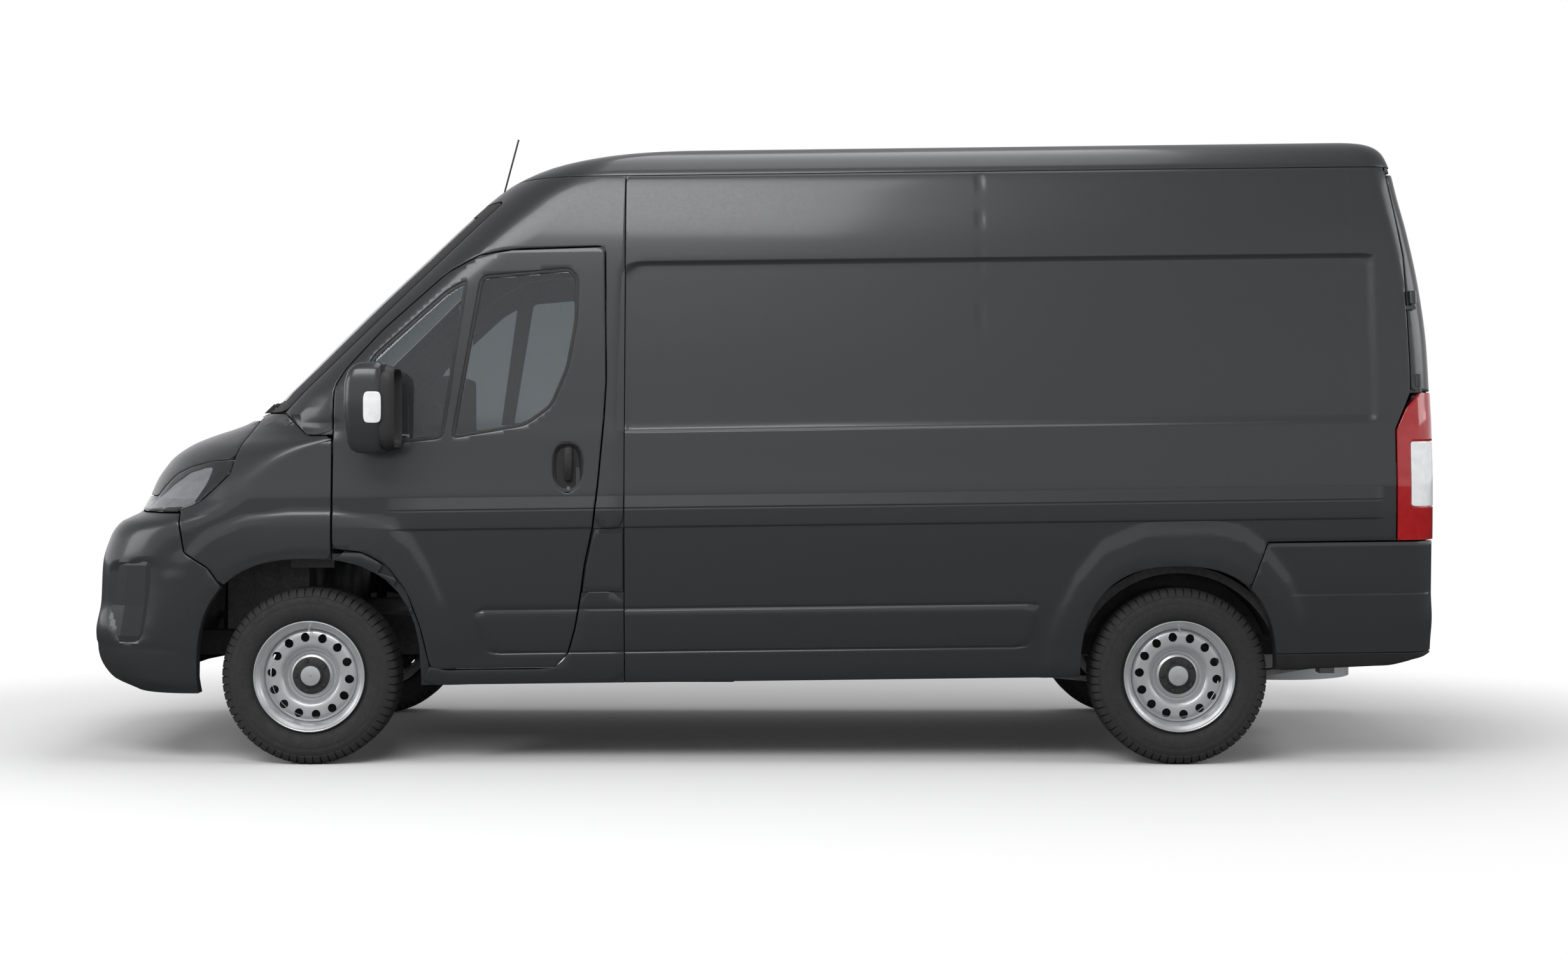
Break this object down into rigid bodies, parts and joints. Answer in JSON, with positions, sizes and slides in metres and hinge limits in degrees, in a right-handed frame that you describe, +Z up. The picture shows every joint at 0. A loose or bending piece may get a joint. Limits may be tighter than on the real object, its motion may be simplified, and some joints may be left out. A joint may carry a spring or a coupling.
{
  "type": "panel van",
  "caption": "Dark grey high-roof panel van with hinged cab and rear doors, a bonnet, steered front wheels and a hollow load space behind the cab.",
  "frame": {"origin": "on the ground, midway between the nose and the rear face and on the centre plane", "axes": "+X towards the rear, the nose at -X, +Y towards the vehicle's right side, +Z up"},
  "size_m": [5.413, 2.511, 2.5982],
  "materials": {
    "body_grey": "satin metallic",
    "lamp_clear": "clear lens",
    "lamp_red": "gloss",
    "glass": "polished",
    "wheel_steel": "silver lacquer",
    "tyre": "matt",
    "black_plastic": "grained",
    "seat_cloth": "woven",
    "inner_panel": "satin",
    "chassis_black": "matt",
    "cast_metal": "cast",
    "exhaust_steel": "dull",
    "tank_plastic": "moulded"
  },
  "bodies": {
    "van_body": {"floor_pan": "chassis_black", "body_side_left": "body_grey", "body_side_right": "body_grey", "roof": "body_grey", "cab_frame": "body_grey", "front_wings": "body_grey", "front_bumper": "body_grey", "grille": "black_plastic", "headlamps": "lamp_clear", "windscreen": "glass", "sliding_door": "body_grey", "tail_lamps": "lamp_red", "rear_bumper": "body_grey", "dashboard": "black_plastic", "driver_seat": "seat_cloth", "passenger_bench": "seat_cloth", "bulkhead": "inner_panel", "engine": "cast_metal", "fuel_tank": "tank_plastic", "exhaust": "exhaust_steel", "spare_wheel": "tyre", "rear_axle": "chassis_black", "front_subframe": "chassis_black", "wipers": "black_plastic"},
    "bonnet": {"bonnet": "body_grey"},
    "fuel_flap": {"fuel_flap": "body_grey"},
    "cab_door_left": {"cab_door_left": "body_grey", "cab_glass_left": "glass", "mirror_left": "body_grey"},
    "cab_door_right": {"cab_door_right": "body_grey", "cab_glass_right": "glass", "mirror_right": "body_grey"},
    "rear_door_left": {"rear_door_left": "body_grey"},
    "rear_door_right": {"rear_door_right": "body_grey"},
    "steering_wheel": {"steering_wheel": "black_plastic"},
    "knuckle_left": {"knuckle_left": "chassis_black"},
    "knuckle_right": {"knuckle_right": "chassis_black"},
    "wheel_front_left": {"rim_front_left": "wheel_steel", "tyre_front_left": "tyre"},
    "wheel_front_right": {"rim_front_right": "wheel_steel", "tyre_front_right": "tyre"},
    "wheel_rear_left": {"rim_rear_left": "wheel_steel", "tyre_rear_left": "tyre"},
    "wheel_rear_right": {"rim_rear_right": "wheel_steel", "tyre_rear_right": "tyre"}
  },
  "joints": [
    {"name": "steer_left", "type": "hinge", "parent": "van_body", "child": "knuckle_left", "pos_m": [-1.7585, -0.74, 0.35], "axis": [0, 0, 1], "range_deg": [-35, 35]},
    {"name": "steer_right", "type": "hinge", "parent": "van_body", "child": "knuckle_right", "pos_m": [-1.7585, 0.74, 0.35], "axis": [0, 0, 1], "range_deg": [-35, 35]},
    {"name": "steering_wheel_turn", "type": "hinge", "parent": "van_body", "child": "steering_wheel", "pos_m": [-1.2585, -0.49, 1.2], "axis": [0.8192, 0, 0.5736], "range_deg": [-540, 540]},
    {"name": "wheel_front_left_spin", "type": "hinge", "parent": "knuckle_left", "child": "wheel_front_left", "pos_m": [-1.7585, -0.878, 0.35], "axis": [0, 1, 0], "continuous": true},
    {"name": "wheel_rear_left_spin", "type": "hinge", "parent": "van_body", "child": "wheel_rear_left", "pos_m": [1.6915, -0.878, 0.35], "axis": [0, 1, 0], "continuous": true},
    {"name": "wheel_front_right_spin", "type": "hinge", "parent": "knuckle_right", "child": "wheel_front_right", "pos_m": [-1.7585, 0.878, 0.35], "axis": [0, 1, 0], "continuous": true},
    {"name": "wheel_rear_right_spin", "type": "hinge", "parent": "van_body", "child": "wheel_rear_right", "pos_m": [1.6915, 0.878, 0.35], "axis": [0, 1, 0], "continuous": true},
    {"name": "cab_door_left_hinge", "type": "hinge", "parent": "van_body", "child": "cab_door_left", "pos_m": [-1.6405, -0.985, 1], "axis": [0, 0, -1], "range_deg": [0, 62]},
    {"name": "cab_door_right_hinge", "type": "hinge", "parent": "van_body", "child": "cab_door_right", "pos_m": [-1.6405, 0.985, 1], "axis": [0, 0, 1], "range_deg": [0, 62]},
    {"name": "rear_door_left_hinge", "type": "hinge", "parent": "van_body", "child": "rear_door_left", "pos_m": [2.6695, -1.012, 0.8], "axis": [0.0486, -0.0412, -0.998], "range_deg": [0, 175]},
    {"name": "rear_door_right_hinge", "type": "hinge", "parent": "van_body", "child": "rear_door_right", "pos_m": [2.6695, 1.012, 0.8], "axis": [-0.0486, -0.0412, 0.998], "range_deg": [0, 175]},
    {"name": "fuel_flap_hinge", "type": "hinge", "parent": "van_body", "child": "fuel_flap", "pos_m": [-0.517, -1.0098, 0.69107], "axis": [0, -0.0424, 0.9991], "range_deg": [0, 80]},
    {"name": "bonnet_hinge", "type": "hinge", "parent": "van_body", "child": "bonnet", "pos_m": [-1.9905, 0, 1.35], "axis": [0, 1, 0], "range_deg": [0, 37]}
  ],
  "couplings": [
    {"joint": "steer_right", "follows": "steer_left", "ratio": 1},
    {"joint": "steering_wheel_turn", "follows": "steer_left", "ratio": 15}
  ]
}
